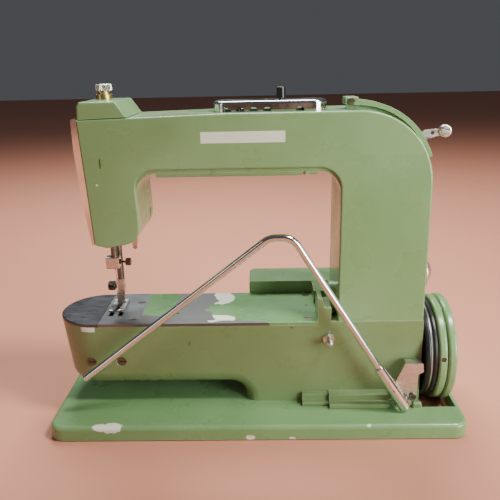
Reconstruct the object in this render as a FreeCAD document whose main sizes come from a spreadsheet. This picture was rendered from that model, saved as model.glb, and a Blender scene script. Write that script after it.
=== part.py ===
import FreeCAD, Part
import math
import os
import re

import Sketcher

Vector = FreeCAD.Vector

# Free-arm sewing machine, millimetres. +X runs along the arm from the needle end to the handwheel,
# +Y runs from the front to the back, +Z is up. The origin is under the middle of the base.
# Every name below is a cell of the spreadsheet, and the sub-parts are bound to those cells.
SIZES = {
    # base casting
    "base_length": 365, "base_depth": 165, "base_under": 1, "base_top": 14, "base_corner": 13,
    "base_edge": 3.5, "slot_left": 148.2, "slot_right": 178, "slot_front": -54.5, "slot_back": 41.5,
    "foot_radius": 9, "foot_height": 4, "foot_inset_x": 22, "foot_inset_y": 18,
    # lower body and free arm
    "front": -42.5, "back": 29.5, "middle": -6.5, "wall": 4, "bed_top": 93, "plate_thick": 3,
    "arm_under": 31, "arm_round": 13, "arm_end": -182.4, "arm_bend": -146, "arm_taper": 7,
    "body_left": -10.8, "body_right": 147.5, "bed_end": 54.4, "needle_plate_left": -141,
    "needle_plate_right": -105, "slide_gap": 0.4,
    # upper body: pillar, arm and head
    "pillar_left": 72, "pillar_right": 146.4, "arm_top_left": 270.4, "arm_top": 273.8,
    "arm_low": 226, "cover_low": 229.3, "corner_big": 60, "harp_round": 18, "head_left_low": -136.5,
    "head_left_top": -141.3, "head_right": -97.6, "head_low": 164.5, "front_cover_thick": 4,
    "casting_back": 17.5, "rear_round": 4.5, "cover_step": 0.9,
    # drive line
    "low_axis": 51.6, "top_axis": 244, "hook_axis": 69.6, "shaft_radius": 5, "top_shaft_radius": 4.5,
    "pulley_at": 100, "pulley_radius": 16,
    "belt_thick": 2, "belt_wide": 8, "bush_radius": 9, "running": 0.05, "fit_gap": 0.3,
    # needle and presser line
    "needle_at": -129.5, "presser_at": -128, "presser_line": 4.5, "bar_radius": 3,
    "presser_radius": 3.2, "needle_tip": 104, "crank_pin_y": -16.7, "crank_pin_z": 255,
    "rod_foot_z": 208, "bar_low": 141,
    # motor
    "motor_line": 50, "motor_axis": 55, "motor_cover_top": 104.8, "motor_cover_left": -7,
    "motor_cover_right": 138, "motor_cover_back": 69.5,
    # knee lever
    "knee_plane": -60.5, "knee_rod_radius": 3, "bracket_plane": -54.6, "bracket_thick": 1.6,
}

doc = FreeCAD.newDocument("sewing_machine")
sheet = doc.addObject("Spreadsheet::Sheet", "sizes")
for row, (alias, value) in enumerate(SIZES.items(), 1):
    sheet.set(f"A{row}", alias)
    sheet.set(f"B{row}", str(value))
    sheet.setAlias(f"B{row}", alias)
doc.recompute()

NODES = {}
SMALL_SCREWS = []
UPPER_BUSHES = []


def size(alias):
    """A driving dimension, read back from the sheet."""
    return float(sheet.get(alias))


def bound(text):
    """Turn words of an expression into references to the sheet's cells."""
    return re.sub(r"[a-z][a-z_]+", lambda word: "sizes." + word.group(0), str(text))


def node(name, obj):
    """Register a finished sub-part under the name that its file gets."""
    obj.Label = name
    NODES[name] = obj
    return obj


def place(obj, x, y, z):
    """Bind an object's position to the sheet."""
    obj.setExpression("Placement.Base.x", bound(x))
    obj.setExpression("Placement.Base.y", bound(y))
    obj.setExpression("Placement.Base.z", bound(z))


def box(xs, ys, zs):
    """A block between three pairs of limits."""
    obj = doc.addObject("Part::Box", "block")
    for prop, (low, high) in zip(("Length", "Width", "Height"), (xs, ys, zs)):
        obj.setExpression(prop, bound(f"({high}) - ({low})"))
    place(obj, xs[0], ys[0], zs[0])
    return obj


TURNS = {"X": (Vector(0, 1, 0), 90), "Y": (Vector(1, 0, 0), -90), "Z": (Vector(0, 0, 1), 0)}


def rod(axis, start, end, radius, across):
    """A round bar along X, Y or Z, from start to end, at the two other coordinates."""
    obj = doc.addObject("Part::Cylinder", "rod")
    obj.setExpression("Radius", bound(radius))
    obj.setExpression("Height", bound(f"({end}) - ({start})"))
    obj.Placement.Rotation = FreeCAD.Rotation(*TURNS[axis])
    spots = list(across)
    spots.insert("XYZ".index(axis), start)
    place(obj, *spots)
    return obj


def cone(axis, start, end, radius_start, radius_end, across):
    """A cone along X, Y or Z."""
    obj = doc.addObject("Part::Cone", "cone")
    obj.setExpression("Radius1", bound(radius_start))
    obj.setExpression("Radius2", bound(radius_end))
    obj.setExpression("Height", bound(f"({end}) - ({start})"))
    obj.Placement.Rotation = FreeCAD.Rotation(*TURNS[axis])
    spots = list(across)
    spots.insert("XYZ".index(axis), start)
    place(obj, *spots)
    return obj


def fuse(*shapes):
    """One solid made of shapes that touch."""
    obj = doc.addObject("Part::MultiFuse", "joined")
    obj.Shapes = list(shapes)
    obj.Refine = True
    return obj


def cut(base, *tools):
    """The base with every tool taken out of it."""
    obj = doc.addObject("Part::Cut", "cut")
    obj.Base = base
    obj.Tool = tools[0] if len(tools) == 1 else fuse(*tools)
    return obj


def group(*shapes):
    """Separate solids kept as one sub-part, such as a set of screws."""
    obj = doc.addObject("Part::Compound", "group")
    obj.Links = list(shapes)
    return obj


def common(one, two):
    """What two solids share."""
    obj = doc.addObject("Part::Common", "common")
    obj.Base = one
    obj.Tool = two
    return obj


def round_edges(base, radius, test):
    """Fillet the edges of a Part object whose middle and shape pass the test."""
    doc.recompute()
    obj = doc.addObject("Part::Fillet", "rounded")
    obj.Base = base
    chosen = [i for i, edge in enumerate(base.Shape.Edges, 1) if test(edge)]
    obj.Edges = [(i, radius, radius) for i in chosen]
    return obj


def middle_of(edge):
    """The point half way along an edge."""
    return edge.valueAt((edge.FirstParameter + edge.LastParameter) / 2)


def outline(corners):
    """Lines and tangent arcs through corners given as (across, up, radius)."""
    count = len(corners)
    points = [Vector(c[0], c[1], 0) for c in corners]
    cuts = []
    for i, (_, _, radius) in enumerate(corners):
        before = (points[i - 1] - points[i]).normalize()
        after = (points[(i + 1) % count] - points[i]).normalize()
        half = before.getAngle(after) / 2
        reach = radius / math.tan(half) if radius else 0
        start, end = points[i] + before * reach, points[i] + after * reach
        inner = points[i]
        if radius:
            centre = points[i] + (before + after).normalize() * (radius / math.sin(half))
            inner = centre + (points[i] - centre).normalize() * radius
        cuts.append((start, inner, end, radius))
    pieces = []
    for i, (start, inner, end, radius) in enumerate(cuts):
        if radius:
            pieces.append(Part.Arc(start, inner, end))
        following = cuts[(i + 1) % count][0]
        if end.distanceToPoint(following) > 1e-6:
            pieces.append(Part.LineSegment(end, following))
    return pieces


OUTWARD = {"XY_Plane": 1, "XZ_Plane": -1, "YZ_Plane": 1}


def sketch_on(body, plane, pieces, level, shift=("0", "0")):
    """A sketch on one of the body's own origin planes, moved to a level along its axis."""
    obj = body.newObject("Sketcher::SketchObject", "outline")
    role = [f for f in body.Origin.OriginFeatures if f.Role == plane][0]
    obj.AttachmentSupport = [(role, "")]
    obj.MapMode = "FlatFace"
    obj.setExpression("AttachmentOffset.Base.x", bound(shift[0]))
    obj.setExpression("AttachmentOffset.Base.y", bound(shift[1]))
    obj.setExpression("AttachmentOffset.Base.z", bound(f"{OUTWARD[plane]} * ({level})"))
    obj.addGeometry(pieces, False)
    return obj


def pad_between(plane, pieces, low, high, body=None):
    """A body padded from a sketch between two levels along the plane's own axis."""
    body = body or doc.addObject("PartDesign::Body", "body")
    pad = body.newObject("PartDesign::Pad", "pad")
    pad.Profile = sketch_on(body, plane, pieces, low)
    pad.setExpression("Length", bound(f"({high}) - ({low})"))
    pad.Reversed = OUTWARD[plane] < 0
    body.Tip = pad
    return body


def turned(profile, at_y, at_z):
    """A body revolved about a line along X; the profile is given as (along X, distance out, radius)."""
    body = doc.addObject("PartDesign::Body", "turned")
    section = sketch_on(body, "XZ_Plane", outline(profile), at_y, ("0", at_z))
    spin = body.newObject("PartDesign::Revolution", "spin")
    spin.Profile = section
    spin.ReferenceAxis = (section, ["H_Axis"])
    spin.Angle = 360
    body.Tip = spin
    return body


def turned_up(profile, at_x, at_y):
    """A body revolved about a vertical line; the profile is given as (distance out, height, radius)."""
    body = doc.addObject("PartDesign::Body", "turned")
    section = sketch_on(body, "XZ_Plane", outline(profile), at_y, (at_x, "0"))
    spin = body.newObject("PartDesign::Revolution", "spin")
    spin.Profile = section
    spin.ReferenceAxis = (section, ["V_Axis"])
    spin.Angle = 360
    body.Tip = spin
    return body


def round_rim(body, radius, test):
    """Fillet the edges of a PartDesign body that pass the test."""
    doc.recompute()
    base = body.Tip
    edges = [f"Edge{i}" for i, edge in enumerate(base.Shape.Edges, 1) if test(edge)]
    rim = body.newObject("PartDesign::Fillet", "rim")
    rim.Base = (base, edges)
    rim.setExpression("Radius", bound(radius))
    body.Tip = rim
    return body


# ---------------------------------------------------------------- base

def corner_spots():
    """The four foot positions under the base."""
    spots = []
    for side_x in (-1, 1):
        for side_y in (-1, 1):
            x = f"{side_x} * (base_length / 2 - foot_inset_x)"
            y = f"{side_y} * (base_depth / 2 - foot_inset_y)"
            spots.append((x, y))
    return spots


BODY_SCREWS = [(-1, -36), (-1, 23), (60, 23), (60, -36), (130, 23)]


def make_base():
    half_x, half_y, corner = size("base_length") / 2, size("base_depth") / 2, size("base_corner")
    plan = [(-half_x, -half_y, corner), (half_x, -half_y, corner), (half_x, half_y, corner),
            (-half_x, half_y, corner)]
    body = pad_between("XY_Plane", outline(plan), "base_under", "base_top")
    round_rim(body, "base_edge", lambda edge: min(v.Z for v in edge.Vertexes) > size("base_top") - 0.01)
    slot = box(("slot_left", "slot_right"), ("slot_front", "slot_back"), (-5, "base_top + 5"))
    pockets = [rod("Z", "base_under - 1", "foot_height", "foot_radius", spot)
               for spot in corner_spots()]
    screw_holes = [rod("Z", 0, "base_top + 1", 2.1, spot) for spot in BODY_SCREWS]
    screw_recesses = [rod("Z", 0, 5, 4.6, spot) for spot in BODY_SCREWS]
    plate = cut(body, slot, *pockets, *screw_holes, *screw_recesses)
    node("base_plate", plate)
    node("rubber_feet", group(*[rod("Z", 0, "foot_height", "foot_radius", spot)
                                for spot in corner_spots()]))
    screws = []
    for x, y in BODY_SCREWS:
        head = cut(rod("Z", 2, 5, 4.5, (x, y)), box((x - 5, x + 5), (y - 0.6, y + 0.6), (1, 3)))
        screws.append(fuse(head, rod("Z", 5, 30, 2, (x, y))))
    node("base_screws", group(*screws))


# ---------------------------------------------------------------- lower body

def arm_end_outline(inset, reach, right=1.0):
    """Plan of the free arm: a half ellipse at the needle end and straight sides to past the body's wall."""
    front, back = size("front") + inset, size("back") - inset
    bend, right = size("arm_bend"), size("body_left") + right
    half = (back - front) / 2
    middle = Vector(bend, (front + back) / 2, 0)
    ellipse = Part.Ellipse(middle, max(reach, half), min(reach, half))
    if reach < half:
        ellipse = Part.Ellipse(middle + Vector(0, half, 0), middle - Vector(reach, 0, 0), middle)
        arc = Part.ArcOfEllipse(ellipse, 0, math.pi)
    else:
        arc = Part.ArcOfEllipse(ellipse, math.pi / 2, 3 * math.pi / 2)
    top, low = Vector(bend, back, 0), Vector(bend, front, 0)
    far_top, far_low = Vector(right, back, 0), Vector(right, front, 0)
    return [arc, Part.LineSegment(low, far_low), Part.LineSegment(far_low, far_top),
            Part.LineSegment(far_top, top)]


def arm_solid():
    """The free arm: a ruled loft whose needle end leans inwards going down."""
    reach = size("arm_bend") - size("arm_end")
    body = doc.addObject("PartDesign::Body", "arm")
    upper = sketch_on(body, "XY_Plane", arm_end_outline(0, reach), "bed_top - plate_thick")
    lower = sketch_on(body, "XY_Plane", arm_end_outline(0, reach - size("arm_taper")), "arm_under")
    loft = body.newObject("PartDesign::AdditiveLoft", "loft")
    loft.Profile = upper
    loft.Sections = [lower]
    loft.Ruled = True
    body.Tip = loft
    return body


def in_arm_corner(edge):
    """The lower front, end and back edges of the arm and the bend into the body."""
    point = middle_of(edge)
    low = point.z < size("arm_under") + 0.5 and point.x < size("body_left") - 14
    arc = size("body_left") - 14 < point.x < size("body_left") - 0.5 and point.z < size("arm_under")
    outer = point.y < size("front") + 0.5 or point.y > size("back") - 0.5 or point.x < -160
    return outer and (low or arc) and abs(point.z - size("base_top")) > 4


def make_front_ledge():
    """The two-stepped ledge in front of the lower body, and the small stop block right of it."""
    face, foot = size("front"), size("base_top")
    long_part = [(face, foot, 0), (-57, foot, 0.8), (-57, 18.5, 1.2), (-50.5, 18.5, 0.5),
                 (-50.5, 25, 1.2), (face, 25, 0)]
    short_part = [(face, foot, 0), (-52, foot, 0.8), (-52, 17.8, 1.2), (-47.5, 17.8, 0.5),
                  (-47.5, 23.5, 1.2), (face, 23.5, 0)]
    ledge = fuse(pad_between("YZ_Plane", outline(long_part), 65, 118),
                 pad_between("YZ_Plane", outline(short_part), 41, 65))
    block = round_edges(box((138.6, 147), (-57, -52), (foot, 19.4)), 1.6,
                        lambda edge: middle_of(edge).z > foot)
    node("front_ledge", group(ledge, block))


BED_SCREWS = [(47, -33), (48.4, 20.8)]
HOOK_SCREWS = [(-150, 56), (-122.5, 56)]
PLATE_SCREWS = [(-110.8, 7.5), (-111.5, -33)]
FEED_ROWS = [-135.2, -126.8]
STUD_SPOT = (64, 77)
KNEE_PIVOT = (138.4, 25)


def make_lower_casting():
    bend = 14
    hollow_corner = cut(box((f"body_left - {bend}", "body_left + 1"), ("front", "back"),
                            (f"arm_under - {bend}", "arm_under + 1")),
                        rod("Y", "front - 1", "back + 1", bend, (f"body_left - {bend}",
                                                                 f"arm_under - {bend}")))
    block = box(("body_left", "body_right"), ("front", "back"), ("base_top", "bed_top - plate_thick"))
    outer = fuse(arm_solid(), block, hollow_corner)
    outer = round_edges(outer, size("arm_round"), in_arm_corner)
    deck = box(("bed_end", "body_right"), ("front", "back"), ("bed_top - plate_thick", "bed_top"))
    riser = pad_between("XZ_Plane", outline([(54.4, 92, 0), (54.4, 115, 0), (58.6, 113.4, 1),
                                             (60, 106, 1), (66, 106, 0), (66, 92, 0)]), "front", "front + 26")
    rear_riser = box(("bed_end", 66), ("back - 30", "back"), ("bed_top - 1", 106))
    reach = size("arm_bend") - size("arm_end") - size("arm_taper") - size("wall")
    arm_hollow = pad_between("XY_Plane", arm_end_outline(size("wall"), reach, 6), "arm_under + 6", "bed_top")
    body_hollow = box(("body_left + wall", "body_right - wall"), ("front + wall", "back - wall"),
                      ("base_top - 1", "bed_top - plate_thick - 1"))
    belt_slot = box(("pulley_at - 7", "pulley_at + 7"), ("middle - 20", "middle + 20"),
                    ("bed_top - 8", "bed_top + 1"))
    web_one = box((-68, -62), ("front + wall", "back - wall"), ("arm_under + 5", "low_axis + 14"))
    web_two = box((40, 46), ("front + wall", "back - wall"), ("low_axis - 16", "low_axis + 14"))
    web_hook = box((-95, -91), ("front + wall", "back - wall"), ("arm_under + 5", "bed_top - plate_thick - 8"))
    shaft_bore = rod("X", -100, "body_right + 1", "bush_radius", ("middle", "low_axis"))
    hook_bore = rod("X", -100, -80, 5, ("middle", "hook_axis"))
    cover_holes = [rod("Z", "bed_top - plate_thick - 9", "bed_top", 1.6, spot) for spot in BED_SCREWS]
    cover_bosses = [rod("Z", "bed_top - plate_thick - 8", "bed_top - plate_thick", 4.5, spot)
                    for spot in BED_SCREWS]
    front_holes = [rod("Y", "front - 1", "front + wall + 1", 2, spot) for spot in HOOK_SCREWS]
    seats = [cone("Y", "front - 0.1", "front + 2.4", 4.8, 2.2, spot) for spot in HOOK_SCREWS]
    fitting_holes = [rod("Y", "front - 1", "front + wall + 1", 2, spot) for spot in (STUD_SPOT, KNEE_PIVOT)]
    motor_window = box((94, 106), ("back - wall - 1", "back + 1"), (48, 62))
    shell = cut(fuse(outer, deck, riser, rear_riser), arm_hollow, body_hollow, belt_slot, motor_window)
    columns = [rod("Z", "base_top", 34, 6, spot) for spot in BODY_SCREWS]
    column_bores = [rod("Z", "base_top - 1", 33, 2, spot) for spot in BODY_SCREWS]
    ribbed = fuse(shell, web_one, web_two, web_hook, *cover_bosses, *columns)
    node("lower_casting", cut(ribbed, shaft_bore, hook_bore, *cover_holes, *front_holes, *seats,
                              *fitting_holes, *column_bores))


def countersunk(x, y, top):
    """A slotted flat-headed screw let into a top plate."""
    head = cone("Z", f"{top} - 2.2", f"{top} - 0.1", 1.6, 3.6, (x, y))
    slot = box((x - 4, x + 4), (y - 0.45, y + 0.45), (f"{top} - 1", f"{top} + 1"))
    return fuse(cut(head, slot), rod("Z", f"{top} - 10", f"{top} - 2.2", 1.55, (x, y)))


def make_bed():
    low, top = "bed_top - plate_thick", "bed_top"
    plate = box(("needle_plate_right + 0.1", "bed_end - 0.1"), ("front", "back"), (low, top))
    plate = round_edges(plate, 0.8, lambda edge: middle_of(edge).z > size("bed_top") - 0.1
                        and abs(edge.tangentAt(edge.FirstParameter).x) > 0.9)
    screw_cones = [cone("Z", "bed_top - 2.3", "bed_top + 0.1", 1.7, 3.9, spot) for spot in BED_SCREWS]
    screw_ways = [rod("Z", "bed_top - 4", "bed_top - 2.2", 1.7, spot) for spot in BED_SCREWS]
    oil_holes = [rod("Z", "bed_top - 4", "bed_top + 1", 1.1, spot) for spot in [(-72, -20), (47.4, -4.2)]]
    node("bed_cover", cut(plate, *screw_cones, *screw_ways, *oil_holes))
    SMALL_SCREWS.extend(countersunk(x, y, "bed_top") for x, y in BED_SCREWS + PLATE_SCREWS)

    needle_plate = box(("needle_plate_left", "needle_plate_right"), ("front", "back"), (low, top))
    needle_hole = rod("Z", "bed_top - 4", "bed_top + 1", 1.4, ("needle_at", "middle"))
    feed_slots = [box((x - 0.3, x + 3.3), (-24, 11), ("bed_top - 4", "bed_top + 1"))
                  for x in FEED_ROWS]
    plate_cones = [cone("Z", "bed_top - 2.3", "bed_top + 0.1", 1.7, 3.9, spot) for spot in PLATE_SCREWS]
    plate_ways = [rod("Z", "bed_top - 4", "bed_top - 2.2", 1.7, spot) for spot in PLATE_SCREWS]
    node("needle_plate", cut(needle_plate, needle_hole, *feed_slots, *plate_cones, *plate_ways))

    reach = size("arm_bend") - size("arm_end")
    cap = pad_between("XY_Plane", arm_end_outline(0, reach), low, top)
    keep = box(("arm_end - 1", "needle_plate_left - slide_gap"), ("front - 1", "back + 1"), (low, "bed_top + 1"))
    slide = round_edges(common(cap, keep), 1.0, lambda edge: middle_of(edge).z > size("bed_top") - 0.1
                        and middle_of(edge).x < size("needle_plate_left") - 1)
    node("slide_plate", slide)


def make_front_fittings():
    SMALL_SCREWS.extend(
        fuse(cut(cone("Y", "front + 0.2", "front + 2.3", 4.4, 2, spot),
                 box((spot[0] - 5, spot[0] + 5), ("front - 1", "front + 1.2"),
                     (spot[1] - 0.5, spot[1] + 0.5))),
             rod("Y", "front + 2.3", "front + 11", 1.95, spot)) for spot in HOOK_SCREWS)
    x, z = STUD_SPOT
    flange = rod("Y", "front - 1.6", "front", 5, STUD_SPOT)
    neck = rod("Y", "front - 9", "front - 1.6", 2, STUD_SPOT)
    shank = rod("Y", "front", "front + 9", 1.95, STUD_SPOT)
    ball = doc.addObject("Part::Sphere", "ball")
    ball.Radius = 3.6
    place(ball, x, "front - 9.6", z)
    node("table_stud", fuse(flange, neck, shank, ball))


# ---------------------------------------------------------------- upper body

def upper_outline(low, grow=0.0):
    """The arched outline of pillar, arm and head; grow moves every side outwards."""
    left_low, left_top = size("head_left_low") - grow, size("head_left_top") - grow
    right, top = size("pillar_right") + grow, size("arm_top") + grow
    inner = size("pillar_left") - grow
    head = size("head_right") + grow
    foot = size("head_low") - grow
    base = size("bed_top") - (1 if grow < 0 else 0)
    return outline([
        (inner, base, 0), (right + 0.9, base, 0),
        (right, top, size("corner_big") + grow), (-20, top - 0.2, 0),
        (left_top, size("arm_top_left") + grow, 0),
        (left_low, foot + 1.5, 2), (-126, foot - 1.5, 11), (head + 0.4, foot + 3.5, 15 + grow),
        (head + 0.6, 192, 40), (head - 0.8, low - grow, 16 - grow),
        (inner, low - grow, size("harp_round") - grow)])


LIFTER_PIVOT = (-112, 178)
QUADRANT = (85.5, 213.8)
COVER_SCREWS = [(-97, 263), (-103.5, 200), (60, 266), (79, 110), (139.5, 110)]


def make_upper_casting():
    wall, front_face = size("wall"), size("front") + size("front_cover_thick")
    outer = pad_between("XZ_Plane", upper_outline(size("arm_low")), "front + front_cover_thick",
                        "casting_back")
    hollow = pad_between("XZ_Plane", upper_outline(size("arm_low"), -wall), "front + 2 * wall",
                         "casting_back + 1")
    face_window = box((-150, -130), (-34, 14), (176, 260))
    bar_bores = [rod("Z", 150, 176, 5.5, ("needle_at", "middle")),
                 rod("Z", 150, 176, 5.4, ("presser_at", "presser_line"))]
    top_bore = rod("Z", 260, 280, 4.5, ("presser_at", "presser_line"))
    lifter_slot = box((-121, -95), (9, 16), (150, 186))
    lever_slot = box((95, 170), ("middle - 9.5", "middle - 4.5"), (234, 290))
    button_slot = box((14, 34), (-10.2, -5.8), (260, 280))
    webs = [box((x, x + 5), ("front + 2 * wall", "casting_back"), ("arm_low + wall - 1", "arm_top - 3"))
            for x in (-60, 40)]
    pillar_web = box((80, 86), ("front + 2 * wall", "casting_back"), (232, 262))
    head_web = box((-101, -96), ("front + 2 * wall", "casting_back"), ("arm_low + wall - 1", "arm_top - 6"))
    bores = rod("X", -110, 90, 8, ("middle", "top_axis"))
    stud_boss = rod("X", -104, -99, 6, (-22, 208))
    screw_bosses = [rod("Y", 3, "casting_back", 4.5, spot) for spot in COVER_SCREWS]
    screw_bores = [rod("Y", 5, "casting_back + 1", 1.6, spot) for spot in COVER_SCREWS]
    boss = fuse(rod("X", 66.5, "pillar_left + 1", 12, (-12, 108)),
                box((66.5, "pillar_left + 1"), (-24, 0), ("bed_top + 0.2", 108)))
    winder_seat = box(("pillar_right - 1", 149.9), (-16, 4), (112, 140))
    cavity = cut(hollow, fuse(*webs, pillar_web, head_web, stud_boss, *screw_bosses))
    shell = cut(fuse(outer, boss, winder_seat), cavity)
    opened = cut(shell, fuse(face_window, *bar_bores, top_bore, lifter_slot, lever_slot, button_slot,
                             bores, *screw_bores))
    take_up_pin = rod("X", -136.8, -99, 3, (-22, 208))
    node("upper_casting", fuse(opened, take_up_pin))


def make_covers():
    face = size("front") + size("cover_step")
    front = pad_between("XZ_Plane", upper_outline(size("cover_low")), "front + cover_step",
                        "front + front_cover_thick - 0.6")
    round_rim(front, 1.6, lambda edge: max(v.Y for v in edge.Vertexes) < face + 0.01
              and middle_of(edge).z > size("bed_top") + 1)
    seat = pad_between("XZ_Plane", upper_outline(size("cover_low") + 2, -2), "front + front_cover_thick - 0.8",
                       "front + front_cover_thick")
    below = box((60, 160), ("front - 1", "back"), ("bed_top - 5", "bed_top"))
    node("front_cover", cut(fuse(front, seat), below))

    rear = pad_between("XZ_Plane", upper_outline(size("arm_low")), "casting_back", "back")
    round_rim(rear, "rear_round", lambda edge: min(v.Y for v in edge.Vertexes) > size("back") - 0.01
              and middle_of(edge).z > size("bed_top") + 1)
    hollow = pad_between("XZ_Plane", upper_outline(size("arm_low"), -5), "casting_back - 1", "back - wall")
    pads = [rod("Y", "casting_back", "back - wall + 1", 5.5, spot) for spot in COVER_SCREWS]
    ways = [rod("Y", "casting_back - 1", "back - 2", 1.7, spot) for spot in COVER_SCREWS]
    seats = [cone("Y", "back - 2.3", "back + 0.1", 1.7, 3.9, spot) for spot in COVER_SCREWS]
    lifter_pin = rod("Y", 8.6, "back - wall + 1", 2.5, LIFTER_PIVOT)
    node("rear_cover", fuse(cut(fuse(cut(rear, hollow), *pads), *ways, *seats), lifter_pin))
    for x, z in COVER_SCREWS:
        head = cut(cone("Y", "back - 2.2", "back - 0.1", 1.6, 3.6, (x, z)),
                   box((x - 4, x + 4), ("back - 0.9", "back + 1"), (z - 0.45, z + 0.45)))
        SMALL_SCREWS.append(fuse(head, rod("Y", 8, "back - 2.2", 1.55, (x, z))))

    strip = round_edges(box((-81, 40), ("front + 4.6", "back - 4"), (222.6, "arm_low")), 1.2,
                        lambda edge: middle_of(edge).z < 222.7)
    end_strip = round_edges(box((40.6, 53), ("front + 4.6", "back - 4"), (223.2, "arm_low")), 1.0,
                            lambda edge: middle_of(edge).z < 223.3)
    fitting = fuse(end_strip, cut(rod("Y", "front + 2.6", "front + 4.6", 1.4, (44, 224.8)),
                                  box((42, 46), ("front + 2", "front + 3.2"), (224.5, 225.1))))
    node("underarm_covers", group(strip, fitting))


def make_head_fittings():
    plate = pad_between("XZ_Plane", outline([
        (size("head_left_top"), 270.2, 0), (size("head_left_low"), 166, 0), (-138.6, 166.6, 0.6),
        (-143.3, 206, 90), (-145.9, 246, 60), (-145.8, 271.4, 1.2), (size("head_left_top"), 271.4, 0)]),
        "front + 2", "casting_back + 5")
    screw_way = rod("X", -150, -130, 1.8, ("middle - 12", 204))
    node("face_plate", cut(plate, screw_way))
    head = turned([(-148.2, 0, 0), (-148.2, 6.6, 1.2), (-144.4, 6.9, 0.6), (-144.4, 0, 0)], "middle - 12", "204")
    node("face_screw", fuse(head, rod("X", -144.5, -139, 1.7, ("middle - 12", 204))))

    hood = pad_between("XZ_Plane", outline([
        (-140.8, 270.8, 0), (-100, 272.2, 0), (-108.5, 284.4, 2.5), (-138, 284.4, 1.5), (-140.4, 281, 1)]),
        "front + 1.5", "casting_back + 2")
    hood = round_edges(hood, 2.0, lambda edge: middle_of(edge).z > 274 and
                       abs(middle_of(edge).y - size("front") - 1.5) < 0.1)
    seat = pad_between("XZ_Plane", upper_outline(size("arm_low"), 0.15), "front", "back")
    bore = rod("Z", 268, 290, 4.5, ("presser_at", "presser_line"))
    node("head_hood", cut(hood, seat, bore))


def make_tension():
    plan = outline([(-33, -25.5, 13), (62, -25.5, 13), (62, 9.5, 13), (-33, 9.5, 13)])
    body = pad_between("XY_Plane", plan, "arm_top", 282)
    round_rim(body, 2.6, lambda edge: min(v.Z for v in edge.Vertexes) > 281.9)
    hollow = pad_between("XY_Plane", outline([(-31.5, -24, 11.5), (60.5, -24, 11.5), (60.5, 8, 11.5),
                                              (-31.5, 8, 11.5)]), "arm_top - 1", 280)
    scallops = [rod("Y", -40, 30, 3.4, (x, "arm_top")) for x in (-21, -10, 1, 12, 39)]
    button_way = box((17.5, 30.5), (-10, -6), (278, 284))
    node("tension_cover", cut(body, hollow, *scallops, button_way))
    stud = rod("Z", "arm_top", 279.6, 1.8, (-12, -8))
    discs = [turned_up([(1.8, low, 0), (9, low + 0.5, 0.2), (9, low + 1.2, 0.2), (1.8, low + 1.2, 0)], "-12", "-8")
             for low in (274.6, 276.6)]
    node("tension_discs", fuse(stud, *discs, rod("Z", 274.4, 277.9, 2.4, (-12, -8))))
    grip = turned_up([(0, 283.3, 0), (3.9, 283.3, 0.4), (3.7, 292.2, 0.9), (0, 292.2, 0)], "24", "-8")
    node("tension_knob", fuse(grip, rod("Z", 276, 283.4, 1.6, (24, -8))))


def ring_sector(inner, outer, start, end):
    """Outline of a band between two radii about the corner's centre, angles from +X in degrees."""
    def spot(radius, degrees):
        turn = math.radians(degrees)
        return Vector(QUADRANT[0] + radius * math.cos(turn), QUADRANT[1] + radius * math.sin(turn), 0)
    middle = (start + end) / 2
    return [Part.Arc(spot(outer, start), spot(outer, middle), spot(outer, end)),
            Part.LineSegment(spot(outer, end), spot(inner, end)),
            Part.Arc(spot(inner, end), spot(inner, middle), spot(inner, start)),
            Part.LineSegment(spot(inner, start), spot(outer, start))]


def make_quadrant():
    strip = pad_between("XZ_Plane", ring_sector(63.4, 67.2, 18, 92), -24.5, -4.5)
    rib = pad_between("XZ_Plane", ring_sector(57, 63.8, 18, 92), -20.5, -8.5)
    arm = pad_between("XZ_Plane", upper_outline(size("arm_low"), 0.1), "front", "back")
    end_block = round_edges(box((76, 86.5), (-24.5, -4.5), ("arm_top + 4", 283.6)), 1.4,
                            lambda edge: middle_of(edge).z > 283)
    pedestal = box((78, 86), (-21, -8), ("arm_top + 0.1", "arm_top + 4.5"))
    slot = pad_between("XZ_Plane", ring_sector(58, 70, 24, 78), "middle - 9.5", "middle - 4.5")
    screw_way = rod("Y", -25, -14, 1.6, (80.5, 280.2))
    node("stitch_quadrant", cut(fuse(strip, rib, end_block, pedestal), slot, screw_way, arm))
    head = cut(rod("Y", -26, -24.5, 2.7, (80.5, 280.2)), box((77, 84), (-27, -25.4), (279.8, 280.6)))
    SMALL_SCREWS.append(fuse(head, rod("Y", -24.6, -15, 1.5, (80.5, 280.2))))

    lever = pad_between("XZ_Plane", outline([(133.2, 240.2, 0), (142, 246, 6), (158, 250.6, 2),
                                             (160, 256.4, 2), (144.5, 255, 6), (137, 249, 4),
                                             (130.1, 245.1, 0)]), "middle - 8.1", "middle - 5.9")
    eye = rod("Y", "middle - 9", "middle - 5", 1.7, (151, 252.6))
    shoe = pad_between("XZ_Plane", ring_sector(53.4, 55.6, 26, 38), "middle - 12.5", "middle - 1.5")
    node("stitch_lever", fuse(cut(lever, eye), turned_knob(), shoe))


def turned_knob():
    """The round grip at the end of the stitch lever, with its axis along the machine's depth."""
    disc = rod("Y", "middle - 10.5", "middle - 3.5", 5.2, (161.5, 254))
    return round_edges(disc, 1.6, lambda edge: edge.Length > 20)


# ---------------------------------------------------------------- drive line

def gear(teeth, module, low, high, at_z, bore, turn_share):
    """A spur gear about X whose trapezoid teeth leave backlash; turn_share moves it by part of a tooth."""
    pitch = teeth * module / 2
    step = 2 * math.pi / teeth
    levels = [(pitch - 1.15 * module, 0.60), (pitch, 0.40), (pitch + 0.85 * module, 0.17)]
    points = []
    for tooth in range(teeth):
        centre = (tooth + turn_share) * step
        for radius, share in levels:
            points.append((radius, centre - share * step / 2))
        for radius, share in reversed(levels):
            points.append((radius, centre + share * step / 2))
    middle = size("middle")
    corners = [(middle + radius * math.cos(angle), at_z + radius * math.sin(angle), 0)
               for radius, angle in points]
    body = pad_between("YZ_Plane", outline(corners), low, high)
    return cut(body, rod("X", low - 1, high + 1, bore, ("middle", at_z)))


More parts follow.
